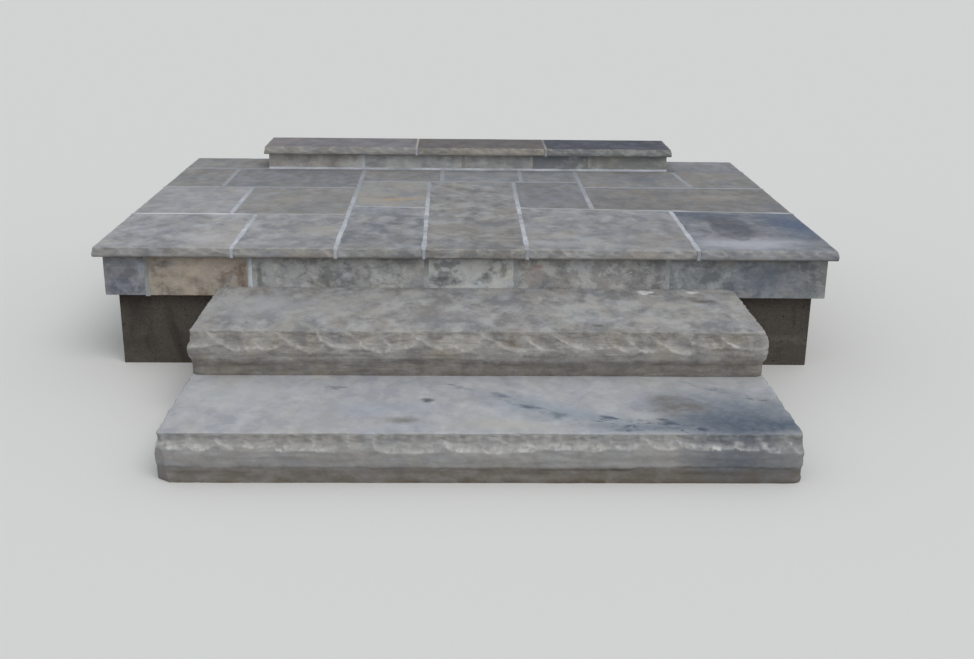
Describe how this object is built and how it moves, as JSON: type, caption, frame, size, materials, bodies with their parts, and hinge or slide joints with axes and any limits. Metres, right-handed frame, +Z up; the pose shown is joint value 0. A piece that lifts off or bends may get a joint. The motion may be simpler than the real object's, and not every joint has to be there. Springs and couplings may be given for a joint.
{
  "type": "outdoor stone steps",
  "caption": "Two rock faced stone slab steps up to a flagged landing with a low stone sill step at its back, as at a house door.",
  "frame": {"origin": "on the ground, under the middle of the whole outline", "axes": "+X to the right of a person who walks up, +Y from the front of the lower step to the back, +Z up"},
  "size_m": [2.875, 2.9636, 0.604],
  "materials": {
    "lower_slab": "smooth top, pitched faces",
    "upper_slab": "cleft top, pitched faces",
    "flag": "natural cleft",
    "flag_tan": "natural cleft with a tan streak",
    "riser_grey": "natural cleft",
    "riser_tan": "natural cleft",
    "sill_coping": "natural cleft",
    "sill_stone": "natural cleft",
    "mortar": "struck joints",
    "concrete": "rough cast"
  },
  "bodies": {
    "root": {"flag_back_centre": "flag", "flag_back_left_inner": "flag", "flag_back_left_outer": "flag", "flag_back_narrow": "flag", "flag_back_right_inner": "flag", "flag_back_right_outer": "flag", "flag_back_tan_side": "flag", "flag_beside_sill_left": "flag", "flag_beside_sill_right": "flag", "flag_centre_large": "flag", "flag_front_left_inner": "flag", "flag_front_left_outer": "flag", "flag_front_right_inner": "flag", "flag_front_right_outer": "flag", "flag_front_tan_side": "flag", "flag_middle_left_inner": "flag", "flag_middle_left_outer": "flag", "flag_middle_narrow": "flag", "flag_middle_right": "flag", "flag_middle_tan": "flag_tan", "landing_base": "concrete", "landing_mortar": "mortar", "lower_step": "lower_slab", "riser_mortar": "mortar", "riser_panel_1": "riser_grey", "riser_panel_2": "riser_tan", "riser_panel_3": "riser_grey", "riser_panel_4": "riser_grey", "riser_panel_5": "riser_grey", "riser_panel_6": "riser_grey", "side_riser_panels_left": "riser_grey", "side_riser_panels_right": "riser_grey", "sill_coping_left": "sill_coping", "sill_coping_middle": "sill_coping", "sill_coping_right": "sill_coping", "sill_core": "concrete", "sill_end_stones": "sill_stone", "sill_mortar": "mortar", "sill_riser_stone_1": "sill_stone", "sill_riser_stone_2": "sill_stone", "sill_riser_stone_3": "sill_stone", "sill_riser_stone_4": "sill_stone", "sill_riser_stone_5": "sill_stone", "upper_step": "upper_slab", "upper_step_footing": "concrete"}
  },
  "joints": []
}
